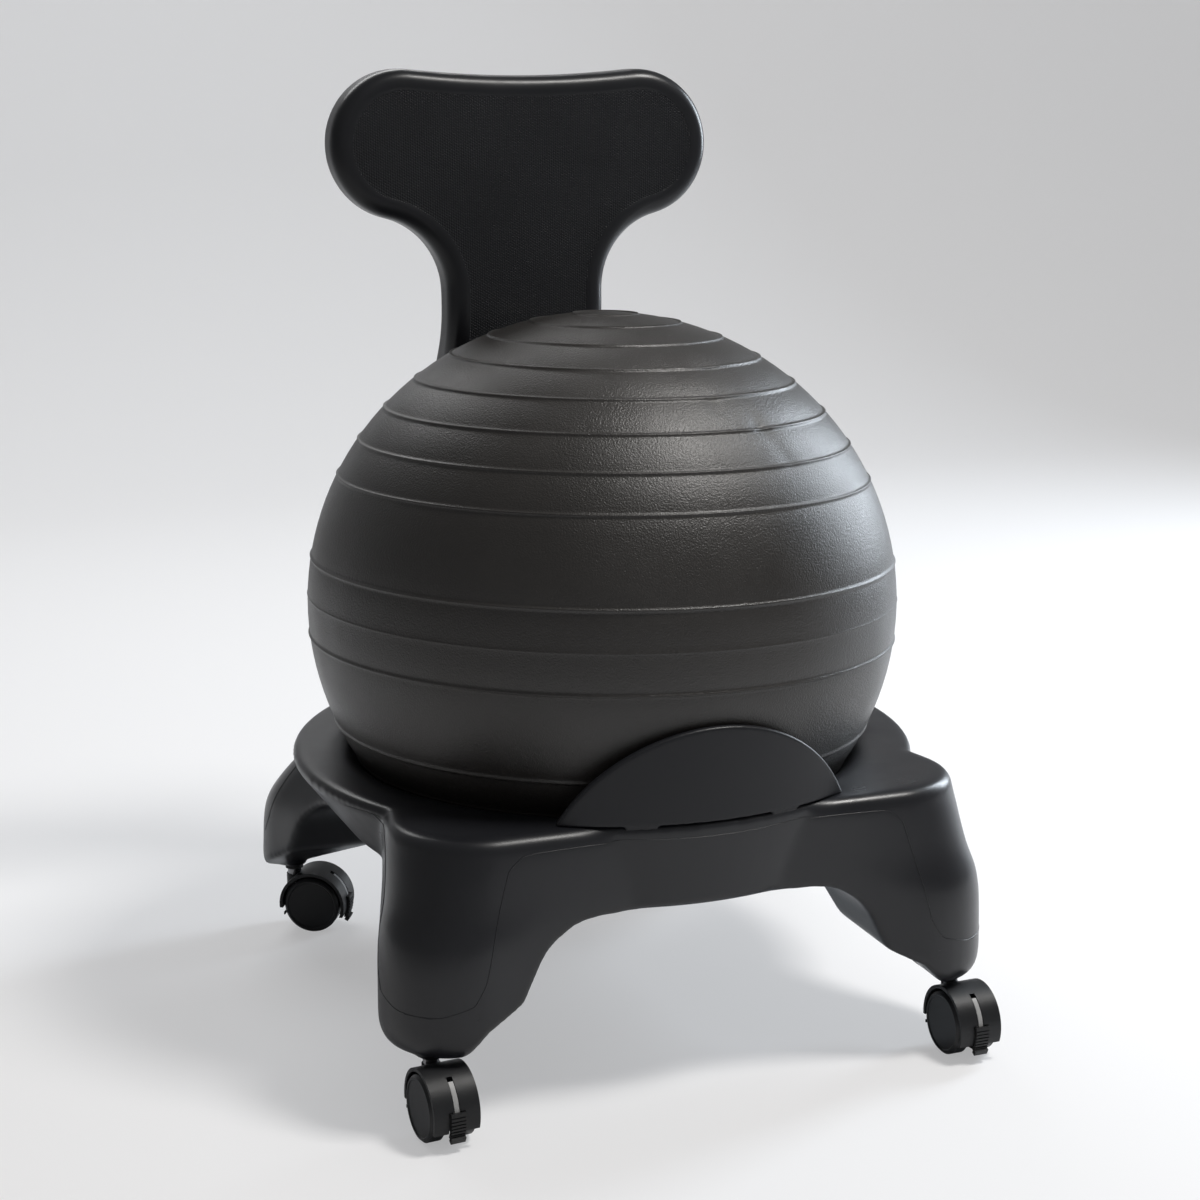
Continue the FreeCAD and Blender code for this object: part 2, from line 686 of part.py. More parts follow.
SOCKET_RADIUS = mm("stem_radius") + mm("stem_play") + mm("socket_wall")
COLLAR_TOP = mm("leg_bottom") - mm("flange_thick") - mm("collar_gap")
STEM_TOP = COLLAR_TOP + mm("stem_length")
SOCKET_TOP = STEM_TOP + mm("socket_top_gap") + mm("socket_wall")


def ring_and_legs(skin):
    """The base as one solid form, skin millimetres inside its outer face."""
    side = rail_section(mm("side_radius"), mm("rim_flat"), mm("side_foot_radius"), skin)
    front = rail_section(mm("front_radius"), mm("front_flat"), mm("front_foot_radius"), skin)
    side_ring = side.revolve(Vector(), UP, FULL_TURN)
    front_ring = front.revolve(Vector(), UP, FULL_TURN)
    half = mm("apron_half")
    reach = mm("side_radius") + mm("wall")
    tall = mm("rim_top") + mm("wall")
    front_zone = Part.makeBox(2 * half, reach, tall, Vector(-half, -reach, 0))
    rear_zone = Part.makeBox(2 * half, reach, tall, Vector(-half, 0, 0))
    ring = side_ring.cut([front_zone, rear_zone]).fuse(front_ring.common([front_zone, rear_zone]))
    pieces = []
    for end in ("front", "rear"):
        leg = leg_solid(end, skin)
        y = CORNERS[end + "_right"][1]
        leg.rotate(Vector(), UP, y * QUARTER_TURN / 2)
        if y > 0:
            leg = leg_solid(end, skin).mirror(Vector(), ALONG_Y)
            leg.rotate(Vector(), UP, QUARTER_TURN / 2)
        leg.translate(corner_point(end + "_right"))
        pieces += [leg, leg.mirror(Vector(), ALONG_X)]
    form = ring.multiFuse(pieces)
    tunnel = arch_tool(skin)
    crossing = tunnel.copy()
    crossing.rotate(Vector(), UP, QUARTER_TURN)
    return form.cut([tunnel, crossing])


def base_form():
    """The hollow moulding: the outer form less the bowl, less the space inside its walls."""
    outside = ring_and_legs(0).multiFuse([guard_sill(), backrest_mount()] + socket_bosses())
    outside = outside.cut(bowl_tool(0))
    space = ring_and_legs(mm("wall")).cut(bowl_tool(mm("wall")))
    space = space.cut(socket_bosses() + [pocket_walls()])
    return outside.cut(space).removeSplitter()


base_moulding = formed("base_moulding", base_form())
bores = [cylinder(
    name + "_socket_bore", "sizes.stem_radius + sizes.stem_play + sizes.socket_wall + sizes.press_gap",
    "sizes.stem_length + sizes.socket_top_gap + sizes.socket_wall",
    f"{CORNERS[name][0]} * sizes.corner_offset", f"{CORNERS[name][1]} * sizes.corner_offset",
    "sizes.leg_bottom - sizes.flange_thick") for name in CORNERS]
pocket = block(
    "tongue_pocket", "2 * (sizes.tongue_half + sizes.tongue_play)",
    "sizes.tongue_thick + 2 * sizes.tongue_play", "sizes.tongue_depth + sizes.wall",
    "-sizes.tongue_half - sizes.tongue_play", "sizes.tongue_front - sizes.tongue_play",
    "sizes.rim_top - sizes.tongue_depth")
bolt_holes = [cylinder(
    side + "_bolt_hole", "sizes.bolt_radius + sizes.bolt_play", "sizes.mount_back + 2 * sizes.wall",
    f"{sign} * sizes.bolt_offset", "sizes.tongue_front + sizes.tongue_thick", "sizes.bolt_height",
    ALONG_Y) for side, sign in (("left", -1), ("right", 1))]


def tab_places(depth, play=0):
    """Where the guard's two tongues stand, square to its arc."""
    radius = mm("guard_arc") - mm("guard_thick") / 2
    turn = math.asin(mm("tab_offset") / radius)
    places = []
    for side in (-1, 1):
        spin = Rotation(UP, math.degrees(side * turn))
        middle = Vector(0, 0, mm("rim_top") - depth)
        corner = Vector(-mm("tab_width") / 2 - play, -radius - mm("tab_thick") / 2 - play, 0)
        places.append(Placement(middle + spin.multVec(corner), spin))
    return places


tab_slots = []
SLOT_PLACES = tab_places(mm("tab_length") + mm("tab_play"), mm("tab_play"))
for side, tab_place in zip(("left", "right"), SLOT_PLACES):
    slot = bind(doc.addObject("Part::Box", side + "_tab_slot"),
                Length="sizes.tab_width + 2 * sizes.tab_play",
                Width="sizes.tab_thick + 2 * sizes.tab_play",
                Height="sizes.tab_length + sizes.wall")
    slot.Placement = tab_place
    tab_slots.append(slot)
base_shell = cut("base_shell", base_moulding, bores + [pocket] + bolt_holes + tab_slots)

# The front guard: a low crescent that stands in two slots of the rim, its top edge rounded.


def guard_form():
    low = mm("rim_top")
    outer = mm("guard_arc")
    rise = mm("guard_peak")
    half = mm("guard_half")
    foot = Vector(0, 0, low)
    panel = Part.makeCylinder(outer, rise, foot)
    panel = panel.cut(Part.makeCylinder(outer - mm("guard_thick"), rise, foot))
    crown = (half * half + rise * rise) / (2 * rise)
    disc = Part.makeCylinder(crown, outer, Vector(0, 0, low + rise - crown), -ALONG_Y)
    panel = panel.common(disc)
    rim = [e for e in panel.Edges if e.BoundBox.ZMax > low + rise / 2 and e.BoundBox.XLength > half]
    panel = panel.makeFillet(mm("guard_round"), rim)
    tabs = []
    for tab_place in tab_places(mm("tab_length")):
        tab = Part.makeBox(mm("tab_width"), mm("tab_thick"), mm("tab_length") + mm("wall"))
        tab.Placement = tab_place
        tabs.append(tab)
    return panel.multiFuse(tabs)


front_guard = formed("front_guard", guard_form())

# The backrest: one closed moulding, a pad with two lobes on a stem that bows round the ball and
# ends in a tongue, bolted into the pocket from behind.


def outline_form(inset):
    """The front view of the backrest, as a solid that runs along Y."""
    lobe = mm("lobe_radius") - inset
    lobe_middle = rz(mm("lobe_offset"), mm("lobe_height"))
    rise = mm("back_top") - inset - mm("lobe_height")
    dip = (mm("lobe_offset") ** 2 + rise ** 2 - lobe ** 2) / (2 * (lobe - rise))
    dip_middle = rz(0, mm("back_top") - inset + dip)
    stem = mm("stem_half") - inset
    spread = stem - mm("lobe_offset")
    drop = mm("lobe_height") - mm("crotch_height")
    crotch = (spread ** 2 + drop ** 2 - lobe ** 2) / (2 * (lobe - spread))
    crotch_middle = rz(stem + crotch, mm("crotch_height"))
    dip_touch = lobe_middle + (dip_middle - lobe_middle).normalize() * lobe
    crotch_touch = lobe_middle + (crotch_middle - lobe_middle).normalize() * lobe
    bend_middle = crotch_middle + (crotch_touch - crotch_middle + rz(-crotch, 0)).normalize() * crotch
    foot = mm("rim_top") + mm("seat_gap") - mm("wall")
    right = [
        arc_through(dip_touch, lobe_middle + rz(lobe, 0), crotch_touch),
        arc_through(crotch_touch, bend_middle, rz(stem, mm("crotch_height")))]
    right += polyline([rz(stem, mm("crotch_height")), rz(stem, foot)])
    left = [edge.mirror(Vector(), ALONG_X) for edge in right]
    top = arc_through(dip_touch, rz(0, mm("back_top") - inset), Vector(-dip_touch.x, 0, dip_touch.z))
    sill = polyline([rz(stem, foot), rz(-stem, foot)])
    return face_of(right + left + [top] + sill).extrude(ALONG_Y * 2 * mm("side_radius"))


def side_line(depth, low):
    """The backrest's front line seen from the side, moved back by a depth, from a height up."""
    bow = mm("bend_radius") + depth
    middle = Vector(0, mm("bend_reach") - mm("bend_radius"), mm("bend_height"))
    turn = math.radians(mm("bend_angle"))
    lean = math.radians(mm("recline"))
    lumbar = mm("lumbar_radius") - depth
    foot_angle = math.asin((low - middle.z) / bow)
    start = middle + Vector(0, math.cos(foot_angle), math.sin(foot_angle)) * bow
    waist = middle + ALONG_Y * bow
    bend_end = middle + Vector(0, math.cos(turn), math.sin(turn)) * bow
    centre = bend_end + Vector(0, math.cos(turn), math.sin(turn)) * lumbar
    half_way = (turn - lean) / 2
    belly = centre - Vector(0, math.cos(half_way), math.sin(half_way)) * lumbar
    lumbar_end = centre - Vector(0, math.cos(lean), -math.sin(lean)) * lumbar
    top = lumbar_end + Vector(0, math.tan(lean), 1) * (mm("back_top") + mm("lobe_radius") - lumbar_end.z)
    return [arc_through(start, waist, bend_end), arc_through(bend_end, belly, lumbar_end),
            Part.makeLine(lumbar_end, top)], start, top


def backrest_solid(inset, low, front_round, rear_round):
    """The backrest's form, inset millimetres inside its skin, from a height up."""
    front, front_foot, front_top = side_line(inset, low)
    rear, rear_foot, rear_top = side_line(mm("back_thick") - inset, low)
    ends = [Part.makeLine(front_foot, rear_foot), Part.makeLine(front_top, rear_top)]
    half = mm("lobe_offset") + mm("lobe_radius") + mm("wall")
    slab = face_of(front + rear + ends).extrude(ALONG_X * 2 * half)
    slab.translate(ALONG_X * -half)
    form = slab.common(outline_form(inset)).removeSplitter()
    front_skin = Part.Wire(front).extrude(ALONG_X * 2 * half)
    rear_skin = Part.Wire(rear).extrude(ALONG_X * 2 * half)
    for skin, radius in ((front_skin, front_round), (rear_skin, rear_round)):
        skin.translate(ALONG_X * -half)
        around = []
        for edge in form.Edges:
            middle = edge.valueAt((edge.FirstParameter + edge.LastParameter) / 2)
            straight_across = edge.BoundBox.ZLength < 1e-4
            if not straight_across and skin.distToShape(Part.Vertex(middle))[0] < 1e-4:
                around.append(edge)
        form = form.makeFillet(radius, around)
    return form


def backrest_form():
    """The hollow pad and stem with the solid tongue under it."""
    foot = mm("rim_top") + mm("seat_gap")
    wall = mm("wall")
    outside = backrest_solid(0, foot, mm("front_edge_round"), mm("rear_edge_round"))
    space = backrest_solid(wall, foot + mm("root_depth"), mm("front_edge_round") - wall,
                           mm("rear_edge_round") - wall)
    half = mm("tongue_half")
    tongue_low = mm("rim_top") - mm("tongue_depth") + mm("seat_gap")
    tongue = Part.makeBox(2 * half, mm("tongue_thick"), foot - tongue_low + mm("wall"),
                          Vector(-half, mm("tongue_front"), tongue_low))
    return outside.cut(space).fuse(tongue)


backrest_moulding = formed("backrest_moulding", backrest_form())
insert_holes = []
for side, sign in (("left", -1), ("right", 1)):
    insert_holes.append(cylinder(
        side + "_insert_hole", "sizes.insert_radius + sizes.press_gap",
        "sizes.insert_length + sizes.press_gap", f"{sign} * sizes.bolt_offset",
        "sizes.tongue_front + sizes.tongue_thick", "sizes.bolt_height", -ALONG_Y))
    insert_holes.append(cylinder(
        side + "_flange_hole", "sizes.insert_flange + sizes.press_gap",
        "sizes.insert_flange_thick + sizes.press_gap", f"{sign} * sizes.bolt_offset",
        "sizes.tongue_front + sizes.tongue_thick", "sizes.bolt_height", -ALONG_Y))
backrest_shell = cut("backrest_shell", backrest_moulding, insert_holes)

# The backrest's fasteners: bolts with washers from behind, and threaded inserts in the tongue.

bolt_turn = turned("bolt_turn", [
    ("0", "-sizes.bolt_reach"),
    ("sizes.bolt_radius - sizes.insert_flange_thick / 2", "-sizes.bolt_reach"),
    ("sizes.bolt_radius", "sizes.insert_flange_thick / 2 - sizes.bolt_reach"),
    ("sizes.bolt_radius", "0"),
    ("sizes.head_radius", "0"),
    ("sizes.head_radius", "sizes.head_height - sizes.head_chamfer"),
    ("sizes.head_radius - sizes.head_chamfer", "sizes.head_height"),
    ("0", "sizes.head_height")])
hex_socket = doc.addObject("Part::Prism", "hex_socket")
bind(hex_socket, Circumradius="sizes.hex_radius", Height="sizes.hex_depth + sizes.head_chamfer")
place(hex_socket, z="sizes.head_height - sizes.hex_depth")
bolt_form = cut("bolt_form", bolt_turn, [hex_socket])
washer_form = turned("washer_form", [
    ("sizes.bolt_radius + sizes.bolt_play", "0"), ("sizes.washer_radius", "0"),
    ("sizes.washer_radius", "sizes.washer_thick"),
    ("sizes.bolt_radius + sizes.bolt_play", "sizes.washer_thick")])
insert_form = turned("insert_form", [
    ("sizes.bolt_radius + sizes.thread_play", "-sizes.insert_length"),
    ("sizes.insert_radius", "-sizes.insert_length"),
    ("sizes.insert_radius", "-sizes.insert_flange_thick"),
    ("sizes.insert_flange", "-sizes.insert_flange_thick"),
    ("sizes.insert_flange", "0"),
    ("sizes.bolt_radius + sizes.thread_play", "0")])


def behind(depth):
    """The two bolt places, at a depth along Y, with the fastener's own +Z pointing back."""
    spin = Rotation(UP, ALONG_Y)
    return [Placement(Vector(sign * mm("bolt_offset"), depth, mm("bolt_height")), spin)
            for sign in (-1, 1)]


backrest_bolts = grouped("backrest_bolts", bolt_form, behind(MOUNT_BACK + mm("washer_thick")))
backrest_washers = grouped("backrest_washers", washer_form, behind(MOUNT_BACK))
backrest_inserts = grouped("backrest_inserts", insert_form, behind(mm("tongue_front") + mm("tongue_thick")))

# One caster, drawn with its swivel axis on Z and its tail along +X. A hood with a middle web
# covers two wheels, a stem with a split grip ring stands in the leg's socket, and a rocking
# lever with a ribbed pad works the brake.

stem_form = turned("stem_form", [
    ("0", "sizes.bore_bottom + sizes.press_gap"),
    ("sizes.shank_radius", "sizes.bore_bottom + sizes.press_gap"),
    ("sizes.shank_radius", "sizes.boss_top + sizes.press_gap"),
    ("sizes.collar_radius", "sizes.boss_top + sizes.press_gap"),
    ("sizes.collar_radius", "sizes.leg_bottom - sizes.flange_thick - sizes.collar_gap"),
    ("sizes.stem_radius", "sizes.leg_bottom - sizes.flange_thick - sizes.collar_gap"),
    ("sizes.stem_radius", "sizes.leg_bottom - sizes.flange_thick - sizes.collar_gap"
     " + sizes.stem_length - sizes.groove_low"),
    ("sizes.groove_radius", "sizes.leg_bottom - sizes.flange_thick - sizes.collar_gap"
     " + sizes.stem_length - sizes.groove_low"),
    ("sizes.groove_radius", "sizes.leg_bottom - sizes.flange_thick - sizes.collar_gap"
     " + sizes.stem_length - sizes.groove_high"),
    ("sizes.stem_radius", "sizes.leg_bottom - sizes.flange_thick - sizes.collar_gap"
     " + sizes.stem_length - sizes.groove_high"),
    ("sizes.stem_radius", "sizes.leg_bottom - sizes.flange_thick - sizes.collar_gap"
     " + sizes.stem_length - sizes.stem_tip"),
    ("sizes.stem_radius - sizes.stem_tip", "sizes.leg_bottom - sizes.flange_thick"
     " - sizes.collar_gap + sizes.stem_length"),
    ("0", "sizes.leg_bottom - sizes.flange_thick - sizes.collar_gap + sizes.stem_length")])

COLLAR = "sizes.leg_bottom - sizes.flange_thick - sizes.collar_gap"
PIVOT_X = "sizes.trail + sizes.pivot_reach"
PIVOT_Z = "sizes.wheel_radius + sizes.pivot_rise"
LEVER_OUTER = "sizes.hood_radius - sizes.lever_sink"

socket_form = turned("socket_form", [
    ("sizes.stem_radius + sizes.stem_play", "sizes.leg_bottom - sizes.flange_thick"),
    ("sizes.flange_radius", "sizes.leg_bottom - sizes.flange_thick"),
    ("sizes.flange_radius", "sizes.leg_bottom"),
    ("sizes.stem_radius + sizes.stem_play + sizes.socket_wall", "sizes.leg_bottom"),
    ("sizes.stem_radius + sizes.stem_play + sizes.socket_wall",
     COLLAR + " + sizes.stem_length + sizes.socket_top_gap + sizes.socket_wall"),
    ("0", COLLAR + " + sizes.stem_length + sizes.socket_top_gap + sizes.socket_wall"),
    ("0", COLLAR + " + sizes.stem_length + sizes.socket_top_gap"),
    ("sizes.stem_radius + sizes.stem_play", COLLAR + " + sizes.stem_length + sizes.socket_top_gap")])

ring_turn = turned("ring_turn", [
    ("sizes.groove_radius + sizes.ring_gap",
     COLLAR + " + sizes.stem_length - sizes.groove_low + sizes.ring_gap"),
    ("sizes.stem_radius + sizes.press_gap",
     COLLAR + " + sizes.stem_length - sizes.groove_low + sizes.ring_gap"),
    ("sizes.stem_radius + sizes.press_gap",
     COLLAR + " + sizes.stem_length - sizes.groove_high - sizes.ring_gap"),
    ("sizes.groove_radius + sizes.ring_gap",
     COLLAR + " + sizes.stem_length - sizes.groove_high - sizes.ring_gap")])
ring_cutter = block("ring_cutter", "2 * sizes.stem_radius", "sizes.ring_slit", "sizes.groove_low",
                    "0", "-sizes.ring_slit / 2", COLLAR + " + sizes.stem_length - sizes.groove_low")
ring_form = cut("ring_form", ring_turn, [ring_cutter])

axle_form = turned("axle_form", [
    ("0", "-sizes.wheel_gap - sizes.axle_depth"),
    ("sizes.axle_radius - sizes.axle_nose", "-sizes.wheel_gap - sizes.axle_depth"),
    ("sizes.axle_radius", "sizes.axle_nose - sizes.wheel_gap - sizes.axle_depth"),
    ("sizes.axle_radius", "sizes.wheel_gap + sizes.axle_depth - sizes.axle_nose"),
    ("sizes.axle_radius - sizes.axle_nose", "sizes.wheel_gap + sizes.axle_depth"),
    ("0", "sizes.wheel_gap + sizes.axle_depth")])

wheel_form = turned("wheel_form", [
    ("sizes.axle_radius + sizes.axle_play", "0"),
    ("sizes.hub_radius", "0"),
    ("sizes.hub_radius", "sizes.wheel_width - sizes.wheel_disc"),
    ("sizes.wheel_radius - sizes.tread", "sizes.wheel_width - sizes.wheel_disc"),
    ("sizes.wheel_radius - sizes.tread", "0"),
    ("sizes.wheel_radius - sizes.tread_round / 2", "0"),
    ("sizes.wheel_radius", "sizes.tread_round / 2"),
    ("sizes.wheel_radius", "sizes.wheel_width - sizes.tread_round"),
    ("sizes.wheel_radius - sizes.tread_round", "sizes.wheel_width"),
    ("sizes.wheel_radius - sizes.dish_edge", "sizes.wheel_width"),
    ("sizes.wheel_radius - sizes.dish_edge - sizes.wheel_dish", "sizes.wheel_width - sizes.wheel_dish"),
    ("0", "sizes.wheel_width - sizes.wheel_dish"),
    ("0", "sizes.axle_depth + sizes.axle_nose"),
    ("sizes.axle_radius + sizes.axle_play", "sizes.axle_depth + sizes.axle_nose")])


def sector(label, inner, outer, half, low, high):
    """Part of a ring around the axle, between two angles that are measured up from the tail."""
    slices = []
    for name, radius in (("_outer", outer), ("_inner", inner)):
        piece = cylinder(label + name, radius, f"2 * ({half})", "sizes.trail", f"-({half})",
                         "sizes.wheel_radius", ALONG_Y)
        piece.Placement.Rotation = Rotation(UP, ALONG_Y) * Rotation(UP, -value_of(high))
        piece.setExpression("Angle", f"({high}) - ({low})" if name == "_outer" else None)
        slices.append(piece)
    slices[1].Angle = FULL_TURN
    return cut(label, slices[0], [slices[1]])


hood_disc = cylinder("hood_disc", "sizes.hood_radius", "2 * sizes.hood_half", "sizes.trail",
                     "-sizes.hood_half", "sizes.wheel_radius", ALONG_Y)
hood_boss = cylinder("hood_boss", "sizes.boss_radius", "sizes.boss_top - sizes.bore_bottom",
                     z="sizes.bore_bottom")
wheel_wells = [cylinder(
    side + "_wheel_well", "sizes.wheel_radius + sizes.hood_clear",
    "sizes.hood_half - sizes.web_half + sizes.wall", "sizes.trail", start, "sizes.wheel_radius", ALONG_Y)
    for side, start in (("left", "sizes.web_half"), ("right", "-sizes.hood_half - sizes.wall"))]
under_cut = block("under_cut", "4 * sizes.hood_radius", "4 * sizes.hood_half",
                  "sizes.web_bottom + sizes.hood_radius", "-2 * sizes.hood_radius",
                  "-2 * sizes.hood_half", "-sizes.hood_radius")
front_cut = block("front_cut", "2 * sizes.hood_radius", "4 * sizes.hood_half", "sizes.hood_front_edge",
                  "-2 * sizes.hood_radius - sizes.hood_front_cut", "-2 * sizes.hood_half")
stem_bore = cylinder("stem_bore", "sizes.shank_radius + sizes.press_gap", "2 * sizes.hood_radius",
                     z="sizes.bore_bottom")
collar_seat = cylinder("collar_seat", "sizes.collar_radius + sizes.collar_gap", "sizes.hood_radius",
                       z="sizes.boss_top")
axle_bore = cylinder("axle_bore", "sizes.axle_radius + sizes.press_gap", "2 * sizes.hood_half",
                     "sizes.trail", "-sizes.hood_half", "sizes.wheel_radius", ALONG_Y)
pivot_bore = cylinder("pivot_bore", "sizes.pivot_radius + sizes.pivot_play",
                      "2 * (sizes.pivot_half + sizes.slot_play)", PIVOT_X,
                      "-sizes.pivot_half - sizes.slot_play", PIVOT_Z, ALONG_Y)
brake_slot = sector("brake_slot", "sizes.hood_radius - sizes.slot_depth",
                    "sizes.hood_radius + sizes.wall", "sizes.lever_half + sizes.slot_play",
                    "0", "sizes.slot_high")
brake_notch = block("brake_notch", "sizes.hood_radius", "2 * sizes.notch_half", "sizes.notch_top",
                    "sizes.trail + sizes.notch_reach", "-sizes.notch_half")
hood_solid = joined("hood_solid", [hood_disc, hood_boss])
hood_form = cut("hood_form", hood_solid, wheel_wells + [
    under_cut, front_cut, stem_bore, collar_seat, axle_bore, pivot_bore, brake_slot, brake_notch])

lever_bar = sector("lever_bar", LEVER_OUTER + " - sizes.lever_thick", LEVER_OUTER, "sizes.lever_half",
                   "sizes.lever_low", "sizes.lever_high")
lever_hub = cylinder("lever_hub", "2 * sizes.pivot_radius", "2 * sizes.lever_half", PIVOT_X,
                     "-sizes.lever_half", PIVOT_Z, ALONG_Y)
lever_pin = cylinder("lever_pin", "sizes.pivot_radius", "2 * sizes.pivot_half", PIVOT_X,
                     "-sizes.pivot_half", PIVOT_Z, ALONG_Y)
lever_form = joined("lever_form", [lever_bar, lever_hub, lever_pin])

pad_plate = sector("pad_plate", LEVER_OUTER + " + sizes.press_gap", LEVER_OUTER + " + sizes.pad_thick",
                   "sizes.pad_half", "sizes.pad_low", "sizes.pad_high")
pad_lip = sector("pad_lip", LEVER_OUTER + " + sizes.pad_thick / 2", LEVER_OUTER + " + sizes.pad_thick"
                 " + sizes.lip_rise", "sizes.pad_half", "sizes.pad_low - sizes.lip_sweep",
                 "sizes.pad_low + sizes.lip_sweep")
pad_solid = joined("pad_solid", [pad_plate, pad_lip])
RIB_STEP = "(sizes.pad_high - sizes.pad_low - sizes.lip_sweep) / sizes.rib_count"
rib_grooves = [sector(
    f"rib_groove_{i}", LEVER_OUTER + " + sizes.pad_thick - sizes.rib_depth",
    LEVER_OUTER + " + sizes.pad_thick + sizes.rib_depth", "sizes.pad_half + sizes.press_gap",
    f"sizes.pad_low + sizes.lip_sweep + ({i} - sizes.rib_share) * {RIB_STEP}",
    f"sizes.pad_low + sizes.lip_sweep + {i} * {RIB_STEP}")
    for i in range(1, round(mm("rib_count")))]
pad_form = cut("pad_form", pad_solid, rib_grooves)

# The four casters, each at its corner, turned the way it stands.


def caster_nodes(name):
    """The pieces of one caster as nodes, each a copy of its form."""
    base = Placement(corner_point(name), Rotation(UP, mm(name + "_yaw")))
    level = Placement()
    axle = Vector(mm("trail"), 0, mm("wheel_radius"))
    across = Placement(axle, Rotation(UP, ALONG_Y))
    wheel_a = Placement(axle + ALONG_Y * mm("wheel_gap"), Rotation(UP, ALONG_Y))
    wheel_b = Placement(axle - ALONG_Y * mm("wheel_gap"), Rotation(UP, -ALONG_Y))
    pieces = (
        ("socket", socket_form, level), ("stem", stem_form, level), ("grip_ring", ring_form, level),
        ("hood", hood_form, level), ("axle", axle_form, across), ("wheel_a", wheel_form, wheel_a),
        ("wheel_b", wheel_form, wheel_b), ("brake_arm", lever_form, level),
        ("brake_pad", pad_form, level))
    return [linked(f"{name}_{piece}", form, base * place_in) for piece, form, place_in in pieces]


nodes = [base_shell, front_guard, backrest_shell, backrest_bolts, backrest_washers,
         backrest_inserts, ball, ball_plug]
for corner in CORNERS:
    nodes += caster_nodes(corner)

doc.recompute()


def faults():
    """Everything that failed in the document, or came out without a sound solid."""
    found = [thing.Name for thing in doc.Objects
             if any(word in ("Invalid", "Error") for word in thing.State)]
    for node in nodes:
        shape = Part.getShape(node)
        if shape.isNull() or not shape.isValid() or not shape.Solids:
            found.append(node.Label)
    return found


if faults():
    raise RuntimeError("not built: " + ", ".join(faults()))
os.makedirs("parts", exist_ok=True)
for node in nodes:
    Part.getShape(node).exportStep(f"parts/{node.Label}.step")
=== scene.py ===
import math

import bmesh
import bpy
from mathutils import Matrix, Vector, bvhtree, kdtree


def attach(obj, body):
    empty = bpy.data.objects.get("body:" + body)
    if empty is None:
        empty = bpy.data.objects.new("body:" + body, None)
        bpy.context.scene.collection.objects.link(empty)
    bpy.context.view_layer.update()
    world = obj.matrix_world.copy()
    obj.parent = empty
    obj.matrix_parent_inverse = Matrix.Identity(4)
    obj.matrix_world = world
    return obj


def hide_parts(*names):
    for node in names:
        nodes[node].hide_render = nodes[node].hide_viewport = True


# A balance ball chair in its CAD frame: metres, Z up, the sitter faces -Y, and left is a viewer's
# left who faces its front. The sections follow the chair as it is put together.
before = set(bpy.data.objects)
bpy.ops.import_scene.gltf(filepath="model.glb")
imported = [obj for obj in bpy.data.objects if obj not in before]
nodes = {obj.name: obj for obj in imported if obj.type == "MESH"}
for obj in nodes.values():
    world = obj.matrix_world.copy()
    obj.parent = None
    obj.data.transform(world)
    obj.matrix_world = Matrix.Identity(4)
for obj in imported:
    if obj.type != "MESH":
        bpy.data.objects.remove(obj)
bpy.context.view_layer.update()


# The base is one hollow moulding of black polyethylene: a ring with a bowl for the ball, on four
# legs with arches between them. Its corners run soft into one another, as they do in the mould,
# and the skin has the mould's fine grain and a satin sheen that drifts a little.
def even_skin(title, node, cell, rounds, most=0, filled=()):
    """A copy of a CAD node in small even cells, smoothed, with blocks filled in beforehand."""
    shape = bmesh.new()
    shape.from_mesh(nodes[node].data)
    bmesh.ops.remove_doubles(shape, verts=shape.verts, dist=0.00001)
    for block in filled:
        bmesh.ops.create_cube(shape, size=1, matrix=block)
    mesh = bpy.data.meshes.new(title)
    shape.to_mesh(mesh)
    shape.free()
    piece = bpy.data.objects.new(title, mesh)
    bpy.context.scene.collection.objects.link(piece)
    cells = piece.modifiers.new("cells", "REMESH")
    cells.mode = "VOXEL"
    cells.voxel_size = cell
    settle(piece)
    shape = bmesh.new()
    shape.from_mesh(piece.data)
    for _ in range(rounds):
        bmesh.ops.smooth_vert(shape, verts=shape.verts, factor=0.5,
                              use_axis_x=True, use_axis_y=True, use_axis_z=True)
    count = len(shape.faces) * 2
    shape.to_mesh(piece.data)
    shape.free()
    if most and count > most:
        thinner = piece.modifiers.new("thinner", "DECIMATE")
        thinner.ratio = most / count
        settle(piece)
    piece.data.shade_smooth()
    return piece


def settle(piece):
    """Turns a piece's modifiers into its mesh."""
    bpy.context.view_layer.update()
    graph = bpy.context.evaluated_depsgraph_get()
    finished = bpy.data.meshes.new_from_object(piece.evaluated_get(graph))
    piece.modifiers.clear()
    piece.data = finished


